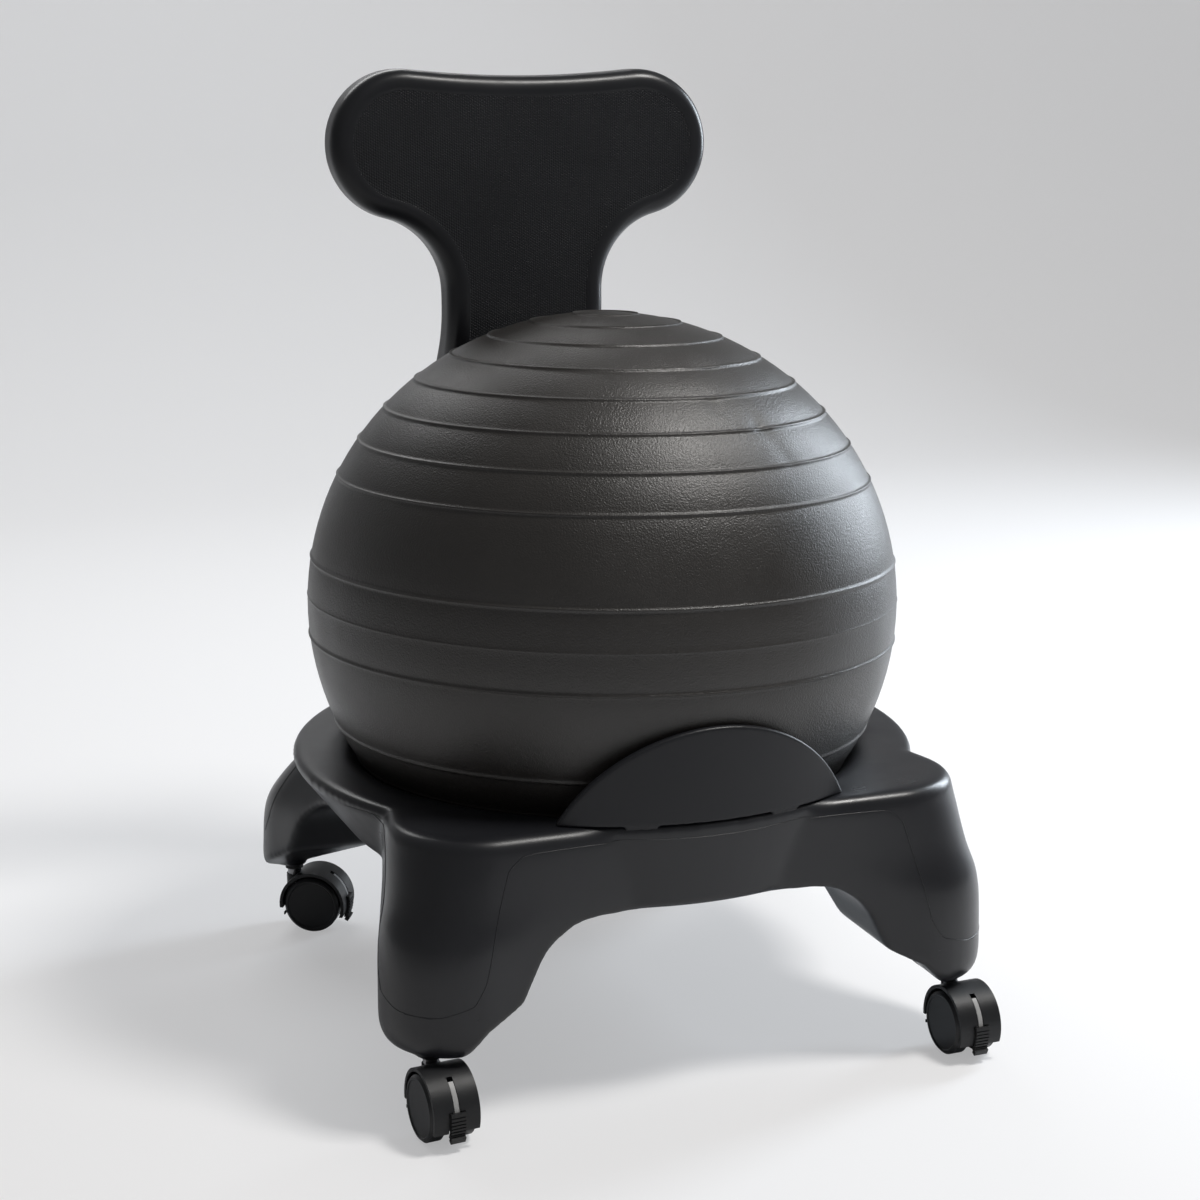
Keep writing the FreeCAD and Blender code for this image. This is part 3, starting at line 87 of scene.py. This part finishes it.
def moulded_plastic(title, colour, roughness, grain, depth, drift=0.06, gleam=0.3):
    """Moulded plastic with a fine grain and a sheen that drifts over the surface."""
    finish = bpy.data.materials.new(title)
    finish.use_nodes = True
    tree = finish.node_tree
    shader = tree.nodes["Principled BSDF"]
    shader.inputs["Specular IOR Level"].default_value = gleam
    place = tree.nodes.new("ShaderNodeTexCoord")
    cloud = tree.nodes.new("ShaderNodeTexNoise")
    cloud.inputs["Scale"].default_value = 14
    cloud.inputs["Detail"].default_value = 4
    tree.links.new(place.outputs["Object"], cloud.inputs["Vector"])
    sheen = tree.nodes.new("ShaderNodeMapRange")
    sheen.inputs["From Min"].default_value = 0.3
    sheen.inputs["From Max"].default_value = 0.7
    sheen.inputs["To Min"].default_value = roughness - drift
    sheen.inputs["To Max"].default_value = roughness + drift
    tree.links.new(cloud.outputs["Fac"], sheen.inputs["Value"])
    tree.links.new(sheen.outputs["Result"], shader.inputs["Roughness"])
    tone = tree.nodes.new("ShaderNodeMix")
    tone.data_type = "RGBA"
    tone.inputs["A"].default_value = (*[c * 0.85 for c in colour], 1)
    tone.inputs["B"].default_value = (*[c * 1.15 for c in colour], 1)
    tree.links.new(cloud.outputs["Fac"], tone.inputs["Factor"])
    tree.links.new(tone.outputs["Result"], shader.inputs["Base Color"])
    pits = tree.nodes.new("ShaderNodeTexNoise")
    pits.inputs["Scale"].default_value = 1 / grain
    pits.inputs["Detail"].default_value = 2
    pits.inputs["Roughness"].default_value = 0.6
    tree.links.new(place.outputs["Object"], pits.inputs["Vector"])
    relief = tree.nodes.new("ShaderNodeBump")
    relief.inputs["Strength"].default_value = 1
    relief.inputs["Distance"].default_value = depth
    tree.links.new(pits.outputs["Fac"], relief.inputs["Height"])
    tree.links.new(relief.outputs["Normal"], shader.inputs["Normal"])
    return finish


# The slots for the guard's tongues lie hidden under its foot, so they are filled first.
tongue_arc = 0.2597
tongue_offset = 0.062
slot_middle = 0.22875
slot_size = (0.027, 0.005, 0.0143, 1)
tongue_slots = []
for side in (-1, 1):
    turn = Matrix.Rotation(side * math.asin(tongue_offset / tongue_arc), 4, "Z")
    slot = Matrix.Translation((0, -tongue_arc, slot_middle)) @ Matrix.Diagonal(slot_size)
    tongue_slots.append(turn @ slot)
base = even_skin("base_skin", "base_shell", cell=0.0026, rounds=9, most=195000,
                 filled=tongue_slots)

# The front soles are nearly flat outside the casters' stems, and turn up late into the legs.
sole = 0.0605
turn_up = 0.045
behind_legs = -0.1
sole_start = 0.19
sole_blend = 0.025
for vert in base.data.vertices:
    height = vert.co.z - sole
    if vert.co.y < behind_legs and 0 < height < turn_up:
        share = min(1, max(0, (abs(vert.co.x) - sole_start) / sole_blend))
        lower = height * height / turn_up
        vert.co.z += (lower - height) * share * share * (3 - 2 * share)
base_black = moulded_plastic("base_black", (0.0105, 0.011, 0.0135), 0.33, grain=0.0009,
                             depth=0.00006, gleam=0.42)
base.data.materials.append(base_black)
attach(base, "base")
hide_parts("base_shell")

# Where the mould's parts met, a fine line of flash stands on the skin: along each rail, down both
# sides of each leg's nose, and round the nose a little above the caster. Each of its eight
# stretches runs from a leg's corner to the middle of a rail.
flash_step = 0.006
flash_radius = 0.00042
leg_line = (
    (-0.266, -0.202, 0.098), (-0.254, -0.242, 0.100), (-0.232, -0.260, 0.101),
    (-0.206, -0.266, 0.109), (-0.196, -0.265, 0.125), (-0.187, -0.260, 0.161),
    (-0.178, -0.253, 0.193), (-0.172, -0.250, 0.212), (-0.160, -0.252, 0.222),
    (-0.142, -0.256, 0.224), (-0.108, -0.260, 0.225), (-0.040, -0.261, 0.224), (0, -0.261, 0.224))
skin = bmesh.new()
skin.from_mesh(base.data)
surface = bvhtree.BVHTree.FromBMesh(skin)
skin.free()
for number, (mirror_x, mirror_y, swapped) in enumerate((
        (1, 1, False), (-1, 1, False), (1, -1, False), (-1, -1, False),
        (1, 1, True), (-1, 1, True), (1, -1, True), (-1, -1, True))):
    route = [Vector((y, x, z) if swapped else (x, y, z)) for x, y, z in leg_line]
    route = [Vector((p.x * mirror_x, p.y * mirror_y, p.z)) for p in route]
    points = []
    for first, last in zip(route, route[1:]):
        steps = max(1, round((last - first).length / flash_step))
        points += [surface.find_nearest(first.lerp(last, i / steps))[0] for i in range(steps)]
    points.append(surface.find_nearest(route[-1])[0])
    line = bpy.data.curves.new(f"flash_{number}", "CURVE")
    line.dimensions = "3D"
    line.bevel_depth = flash_radius
    line.bevel_resolution = 1
    spline = line.splines.new("NURBS")
    spline.points.add(len(points) - 1)
    for place, point in zip(spline.points, points):
        place.co = (*point, 1)
    spline.use_endpoint_u = True
    spline.order_u = 3
    line.resolution_u = 2
    flash = bpy.data.objects.new(f"base_flash_{number}", line)
    bpy.context.scene.collection.objects.link(flash)
    bpy.context.view_layer.update()
    graph = bpy.context.evaluated_depsgraph_get()
    drawn = bpy.data.meshes.new_from_object(flash.evaluated_get(graph))
    bpy.data.objects.remove(flash)
    drawn.materials.clear()
    drawn.materials.append(base_black)
    flash = bpy.data.objects.new(f"base_flash_{number}", drawn)
    bpy.context.scene.collection.objects.link(flash)
    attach(flash, "base")

# The front guard is a separate crescent of the same plastic, a little duller. Its two tongues
# stand in slots of the rim, so a fine seam shows all along its foot.
guard = even_skin("guard_skin", "front_guard", cell=0.0012, rounds=3)
guard.data.materials.append(moulded_plastic(
    "guard_black", (0.0125, 0.013, 0.0155), 0.4, grain=0.0008, depth=0.00004, drift=0.04))
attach(guard, "base")
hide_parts("front_guard")

# The ball is a blown skin of soft vinyl with a pebbled grain. Grip rings run all round it, closer
# together towards the poles, with a bare band at the middle on each side of the welded seam.
ball_radius = 0.26
ball_half = 0.2527
ball_middle = 0.3615
skin_thickness = 0.0016
plug_hole = 0.0053
plug_hole_edge = 0.99979
seam_rise = 0.008
seam_fade = 6
ridge_height = 0.00115
ridge_half = 0.21
ridge_dip = 0.0003
dip_place = 0.62
dip_half = 0.3
seam_height = 0.0005
seam_half = 0.16
ridge_steps = (0, 0.2, 0.42, 0.75, 1.2)
plain_step = 2.4
ring_latitudes = [7.75] + [25.3 + 8.35 * i for i in range(8)]
ring_latitudes = sorted([-r for r in ring_latitudes] + ring_latitudes)


def skin_point(latitude, lift=0.0, half=ball_half, radius=ball_radius):
    """A point of the ball's section. The seam lies 8 mm above the middle, the poles don't."""
    angle = math.radians(latitude)
    rise = half * math.sin(angle) + seam_rise * math.cos(angle) ** seam_fade
    around = radius * math.sqrt(max(0, 1 - (rise / half) ** 2))
    return Vector((around + lift * math.cos(angle), 0, ball_middle + rise + lift * math.sin(angle)))


def ring_lift(latitude):
    """How far the skin stands out at a latitude: low round ridges, each with a dip at its foot."""
    lift = 0.0
    for ring in ring_latitudes:
        off = abs(latitude - ring)
        lift += ridge_height * math.exp(-(off / ridge_half) ** 2)
        lift -= ridge_dip * math.exp(-((off - dip_place) / dip_half) ** 2)
    return lift + seam_height * math.exp(-(latitude / seam_half) ** 2)


latitudes = []
for low, high in zip([-88.8] + ring_latitudes, ring_latitudes + [90.0]):
    foot = ridge_steps[-1]
    plain = high - low - 2 * foot
    latitudes += [low + step for step in ridge_steps]
    between = max(1, round(plain / plain_step))
    latitudes += [low + foot + plain * i / between for i in range(1, between)]
    latitudes += [high - step for step in ridge_steps[1:]]
latitudes += [-0.4, -0.16, 0.0, 0.16, 0.4]
latitudes = sorted(set(round(v, 3) for v in latitudes if -88.7 < v < 89.7))

section = bmesh.new()
profile = [section.verts.new(Vector((plug_hole, 0, ball_middle - ball_half * plug_hole_edge)))]
for latitude in latitudes:
    profile.append(section.verts.new(skin_point(latitude, ring_lift(latitude))))
profile.append(section.verts.new((0, 0, ball_middle + ball_half)))
inner_half = ball_half - skin_thickness
inner_radius = ball_radius - skin_thickness
profile.append(section.verts.new((0, 0, ball_middle + inner_half)))
for latitude in range(84, -89, -6):
    profile.append(section.verts.new(skin_point(latitude, 0, inner_half, inner_radius)))
profile.append(section.verts.new((plug_hole, 0, ball_middle - inner_half)))
ends = zip(profile, profile[1:] + profile[:1])
edges = [section.edges.new(pair) for pair in ends if pair[0].co.x + pair[1].co.x > 1e-6]
bmesh.ops.spin(section, geom=section.verts[:] + edges, cent=(0, 0, 0), axis=(0, 0, 1),
               dvec=(0, 0, 0), angle=math.tau, steps=288, use_merge=True, use_duplicate=False)
bmesh.ops.remove_doubles(section, verts=section.verts, dist=0.000002)
bmesh.ops.recalc_face_normals(section, faces=section.faces)

# Shallow creases, pressed in while the ball lay folded in its box, still show in the skin. Each
# has its two ends, its depth and its half width.
crease_lines = (
    ((0.030, -0.165, 0.552), (0.066, -0.176, 0.533), 0.0011, 0.006),
    ((0.066, -0.176, 0.533), (0.088, -0.196, 0.508), 0.0008, 0.007),
    ((0.012, -0.120, 0.583), (0.060, -0.134, 0.569), 0.0007, 0.008),
)
crease_floor = 0.45
for vert in section.verts:
    if vert.co.z < crease_floor:
        continue
    out = (vert.co - Vector((0, 0, ball_middle))).normalized()
    for first, last, depth, width in crease_lines:
        first = Vector(first)
        run = Vector(last) - first
        share = min(1, max(0, (vert.co - first).dot(run) / run.length_squared))
        away = (vert.co - first - run * share).length
        if away < width * 3:
            vert.co -= out * depth * math.exp(-(away / width) ** 2)

ball_turn = Matrix.Rotation(math.radians(1.1), 4, "Y") @ Matrix.Rotation(math.radians(-1.3), 4, "X")
ball_turn = Matrix.Translation((0, 0, ball_middle)) @ ball_turn @ Matrix.Translation(
    (0, 0, -ball_middle))
bmesh.ops.transform(section, matrix=ball_turn, verts=section.verts)
ball_mesh = bpy.data.meshes.new("ball_skin")
section.to_mesh(ball_mesh)
section.free()
ball_mesh.shade_smooth()
ball = bpy.data.objects.new("ball_skin", ball_mesh)
bpy.context.scene.collection.objects.link(ball)
ball_mesh.materials.append(moulded_plastic(
    "ball_charcoal", (0.021, 0.019, 0.0175), 0.4, grain=0.0015, depth=0.0005, drift=0.05,
    gleam=0.55))
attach(ball, "ball")
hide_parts("ball")

# The air plug is a small pale stopper of harder vinyl, pushed into the ball's lower pole, where
# its flange lies flat on the skin.
plug_finish = moulded_plastic("plug_white", (0.55, 0.55, 0.53), 0.4, 0.0012, 0.00003)
nodes["ball_plug"].data.materials.clear()
nodes["ball_plug"].data.materials.append(plug_finish)

# The backrest is one closed moulding: a pad with two lobes on a stem that bows round the ball. A
# panel of fine staggered dimples is sunk in its front, with a smooth round border about it.
backrest = even_skin("backrest_skin", "backrest_shell", cell=0.0022, rounds=5)
shape = bmesh.new()
shape.from_mesh(backrest.data)
outer_face = max(shape.faces, key=lambda face: face.calc_center_median().z)
reached = {outer_face}
waiting = [outer_face]
while waiting:
    face = waiting.pop()
    for edge in face.edges:
        for other in edge.link_faces:
            if other not in reached:
                reached.add(other)
                waiting.append(other)
inside = [face for face in shape.faces if face not in reached]
bmesh.ops.delete(shape, geom=inside, context="FACES")

lobe = Vector((0.116, 0.7505))
lobe_radius = 0.0685
pad_top = 0.813
stem_half = 0.077
crotch_height = 0.614
stem_foot = 0.23
rise = pad_top - lobe.y
dip_radius = (lobe.x ** 2 + rise ** 2 - lobe_radius ** 2) / (2 * (lobe_radius - rise))
dip = Vector((0, pad_top + dip_radius))
spread = lobe.x - stem_half
drop = lobe.y - crotch_height
crotch_radius = (spread ** 2 + drop ** 2 - lobe_radius ** 2) / (2 * (lobe_radius + spread))
crotch = Vector((stem_half + crotch_radius, crotch_height))
dip_angle = math.atan2(*(lobe - dip).yx)
crotch_angle = math.atan2(*(lobe - crotch).yx)
outline = []
for i in range(121):
    angle = math.radians(-90) + (dip_angle + math.radians(90)) * i / 120
    outline.append(dip + Vector((math.cos(angle), math.sin(angle))) * dip_radius)
start, end = dip_angle + math.pi, crotch_angle - math.pi
for i in range(241):
    angle = start + (end - start) * i / 240
    outline.append(lobe + Vector((math.cos(angle), math.sin(angle))) * lobe_radius)
for i in range(161):
    angle = math.pi + (crotch_angle - math.pi) * i / 160
    outline.append(crotch + Vector((math.cos(angle), math.sin(angle))) * crotch_radius)
outline += [Vector((stem_half, stem_foot + i * 0.001)) for i in range(385)]
rim_of_pad = kdtree.KDTree(len(outline))
for i, point in enumerate(outline):
    rim_of_pad.insert((point.x, point.y, 0), i)
rim_of_pad.balance()

facing_front = -0.35
border = 0.0165
border_step = 0.003
panel_depth = 0.0008
panel = shape.verts.layers.float.new("panel")
shape.normal_update()
for vert in shape.verts:
    if vert.normal.y > facing_front:
        vert[panel] = -0.01
        continue
    away = rim_of_pad.find((abs(vert.co.x), vert.co.z, 0))[2]
    vert[panel] = away
    sunk = min(1, max(0, (away - border) / border_step))
    vert.co.y += panel_depth * sunk * sunk * (3 - 2 * sunk)
shape.to_mesh(backrest.data)
shape.free()
backrest.data.shade_smooth()

dimple_across = 0.0044
dimple_up = 0.0026
pad_finish = moulded_plastic("pad_black", (0.0105, 0.011, 0.013), 0.32, grain=0.0009,
                             depth=0.00004, drift=0.03)
tree = pad_finish.node_tree
shader = tree.nodes["Principled BSDF"]
where = tree.nodes.new("ShaderNodeTexCoord")
nearest = None
for shift in (0.0, 0.5):
    grid = tree.nodes.new("ShaderNodeMapping")
    grid.inputs["Location"].default_value = (shift, 0, shift)
    grid.inputs["Scale"].default_value = (1 / dimple_across, 0, 1 / dimple_up)
    tree.links.new(where.outputs["Object"], grid.inputs["Vector"])
    cell = tree.nodes.new("ShaderNodeVectorMath")
    cell.operation = "FRACTION"
    tree.links.new(grid.outputs["Vector"], cell.inputs[0])
    centred = tree.nodes.new("ShaderNodeVectorMath")
    centred.operation = "SUBTRACT"
    centred.inputs[1].default_value = (0.5, 0, 0.5)
    tree.links.new(cell.outputs["Vector"], centred.inputs[0])
    scaled = tree.nodes.new("ShaderNodeVectorMath")
    scaled.operation = "MULTIPLY"
    scaled.inputs[1].default_value = (dimple_across * 1000, 0, dimple_up * 1000)
    tree.links.new(centred.outputs["Vector"], scaled.inputs[0])
    reach = tree.nodes.new("ShaderNodeVectorMath")
    reach.operation = "LENGTH"
    tree.links.new(scaled.outputs["Vector"], reach.inputs[0])
    if nearest is None:
        nearest = reach.outputs["Value"]
    else:
        smaller = tree.nodes.new("ShaderNodeMath")
        smaller.operation = "MINIMUM"
        tree.links.new(nearest, smaller.inputs[0])
        tree.links.new(reach.outputs["Value"], smaller.inputs[1])
        nearest = smaller.outputs["Value"]
dimple = tree.nodes.new("ShaderNodeMapRange")
dimple.interpolation_type = "SMOOTHSTEP"
dimple.inputs["From Min"].default_value = 0.45
dimple.inputs["From Max"].default_value = 0.95
tree.links.new(nearest, dimple.inputs["Value"])
edge_distance = tree.nodes.new("ShaderNodeAttribute")
edge_distance.attribute_name = "panel"
on_panel = tree.nodes.new("ShaderNodeMapRange")
on_panel.inputs["From Min"].default_value = 0.0185
on_panel.inputs["From Max"].default_value = 0.0195
tree.links.new(edge_distance.outputs["Fac"], on_panel.inputs["Value"])
height = tree.nodes.new("ShaderNodeMix")
height.data_type = "FLOAT"
height.inputs["A"].default_value = 1
tree.links.new(on_panel.outputs["Result"], height.inputs["Factor"])
tree.links.new(dimple.outputs["Result"], height.inputs["B"])
dents = tree.nodes.new("ShaderNodeBump")
dents.inputs["Strength"].default_value = 1
dents.inputs["Distance"].default_value = 0.0008
tree.links.new(height.outputs["Result"], dents.inputs["Height"])
grain = shader.inputs["Normal"].links[0].from_node
tree.links.new(grain.outputs["Normal"], dents.inputs["Normal"])
tree.links.new(dents.outputs["Normal"], shader.inputs["Normal"])
backrest.data.materials.append(pad_finish)
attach(backrest, "base")
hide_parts("backrest_shell")


# Two bolts with washers clamp the backrest's tongue in its pocket, from behind. They turn in
# threaded brass inserts. Bolts and washers are zinc plated steel, with a brushed, uneven shine.
def plated_metal(title, colour, roughness):
    """Turned metal with a thin plating: an uneven shine and fine turning marks."""
    finish = moulded_plastic(title, colour, roughness, 0.0006, 0.00002, 0.08)
    finish.node_tree.nodes["Principled BSDF"].inputs["Metallic"].default_value = 1
    return finish


def dress(names, finish):
    """Gives CAD nodes whose shape is right their finish."""
    for name in names:
        nodes[name].data.materials.clear()
        nodes[name].data.materials.append(finish)


dress(("backrest_bolts", "backrest_washers"), plated_metal("zinc", (0.52, 0.53, 0.54), 0.32))
dress(("backrest_inserts",), plated_metal("brass", (0.7, 0.5, 0.22), 0.35))

# Each caster has a grained nylon hood over two smooth wheels. Its steel stem is held in a nylon
# socket by a sprung ring, and a light grey lever with a ribbed black pad works its brake.
corners = ("front_left", "front_right", "rear_right", "rear_left")
hood_black = moulded_plastic("hood_black", (0.013, 0.0135, 0.015), 0.42, 0.0007, 0.00012)
wheel_black = moulded_plastic("wheel_black", (0.012, 0.0125, 0.014), 0.34, 0.001, 0.00003)
lever_grey = moulded_plastic("lever_grey", (0.34, 0.34, 0.34), 0.4, 0.0008, 0.00003)
pad_black = moulded_plastic("brake_black", (0.016, 0.016, 0.017), 0.5, 0.0006, 0.00008)
socket_black = moulded_plastic("socket_black", (0.02, 0.02, 0.021), 0.45, 0.0008, 0.00004)
stem_steel = plated_metal("stem_steel", (0.3, 0.3, 0.31), 0.3)
for corner in corners:
    dress((corner + "_hood",), hood_black)
    dress((corner + "_wheel_a", corner + "_wheel_b"), wheel_black)
    dress((corner + "_brake_arm",), lever_grey)
    dress((corner + "_brake_pad",), pad_black)
    dress((corner + "_socket",), socket_black)
    dress((corner + "_stem", corner + "_grip_ring", corner + "_axle"), stem_steel)

# The studio: a pale floor that turns up into a pale wall, a soft light above and to the right, a
# tall cool window light at the right, a wide one behind, and the camera where the photograph's
# stood.
sweep = bmesh.new()
profile = [sweep.verts.new((-7, -6, 0)), sweep.verts.new((-7, 2.4, 0))]
for i in range(1, 13):
    angle = math.radians(90 * i / 12)
    profile.append(sweep.verts.new((-7, 2.4 + 1.6 * math.sin(angle), 1.6 - 1.6 * math.cos(angle))))
profile.append(sweep.verts.new((-7, 4, 6)))
bottom = [sweep.edges.new(pair) for pair in zip(profile, profile[1:])]
wide = bmesh.ops.extrude_edge_only(sweep, edges=bottom)
bmesh.ops.translate(sweep, vec=(14, 0, 0),
                    verts=[part for part in wide["geom"] if isinstance(part, bmesh.types.BMVert)])
bmesh.ops.recalc_face_normals(sweep, faces=sweep.faces)
sweep_mesh = bpy.data.meshes.new("studio_sweep")
sweep.to_mesh(sweep_mesh)
sweep.free()
sweep_mesh.shade_smooth()
studio = bpy.data.objects.new("studio_sweep", sweep_mesh)
bpy.context.scene.collection.objects.link(studio)
paper = bpy.data.materials.new("paper")
paper.use_nodes = True
tree = paper.node_tree
shader = tree.nodes["Principled BSDF"]
shader.inputs["Base Color"].default_value = (0.80, 0.80, 0.81, 1)
shader.inputs["Roughness"].default_value = 0.9
seen = tree.nodes.new("ShaderNodeLightPath")
part_seen = tree.nodes.new("ShaderNodeMath")
part_seen.operation = "MULTIPLY"
part_seen.inputs[1].default_value = 0.42
tree.links.new(seen.outputs["Is Camera Ray"], part_seen.inputs[0])
pale = tree.nodes.new("ShaderNodeEmission")
pale.inputs["Color"].default_value = (0.90, 0.90, 0.91, 1)
blend = tree.nodes.new("ShaderNodeMixShader")
tree.links.new(part_seen.outputs["Value"], blend.inputs["Fac"])
tree.links.new(shader.outputs["BSDF"], blend.inputs[1])
tree.links.new(pale.outputs["Emission"], blend.inputs[2])
tree.links.new(blend.outputs["Shader"], tree.nodes["Material Output"].inputs["Surface"])
sweep_mesh.materials.append(paper)


def soft_light(title, place, aim, wide, high, power, colour):
    """A rectangular soft light that looks at a point of the chair."""
    lamp = bpy.data.lights.new(title, "AREA")
    lamp.shape = "RECTANGLE"
    lamp.size = wide
    lamp.size_y = high
    lamp.energy = power
    lamp.color = colour
    holder = bpy.data.objects.new(title, lamp)
    bpy.context.scene.collection.objects.link(holder)
    holder.location = place
    holder.rotation_euler = (Vector(aim) - Vector(place)).to_track_quat("-Z", "Y").to_euler()


soft_light("overhead", (1.05, -0.75, 2.7), (0, 0, 0.4), 0.6, 0.6, 62, (1, 0.98, 0.95))
soft_light("window", (2.5, 0.75, 1.2), (0, 0, 0.4), 0.6, 1.5, 62, (0.84, 0.92, 1))
soft_light("back", (-0.2, 2.2, 2.3), (0, 0.1, 0.6), 2.0, 0.8, 26, (1, 1, 1))

world = bpy.data.worlds.new("studio_air")
bpy.context.scene.world = world
world.use_nodes = True
world.node_tree.nodes["Background"].inputs["Color"].default_value = (1, 1, 1, 1)
world.node_tree.nodes["Background"].inputs["Strength"].default_value = 0.2

yaw = math.radians(20.75)
pitch = math.radians(13.26)
roll = math.radians(0.07)
eye = Vector((-0.6999, -1.8421, 0.8233))
right = Vector((math.cos(yaw), -math.sin(yaw), 0))
ahead = Vector((math.sin(yaw) * math.cos(pitch), math.cos(yaw) * math.cos(pitch), -math.sin(pitch)))
up = right.cross(ahead)
across = right * math.cos(roll) + up * math.sin(roll)
upright = up * math.cos(roll) - right * math.sin(roll)
lens = bpy.data.cameras.new("photo_camera")
lens.lens = 68.235
lens.sensor_width = 36
camera = bpy.data.objects.new("photo_camera", lens)
bpy.context.scene.collection.objects.link(camera)
camera.matrix_world = Matrix((
    (across.x, upright.x, -ahead.x, eye.x),
    (across.y, upright.y, -ahead.y, eye.y),
    (across.z, upright.z, -ahead.z, eye.z),
    (0, 0, 0, 1)))
bpy.context.scene.camera = camera
bpy.context.scene.view_settings.view_transform = "Standard"
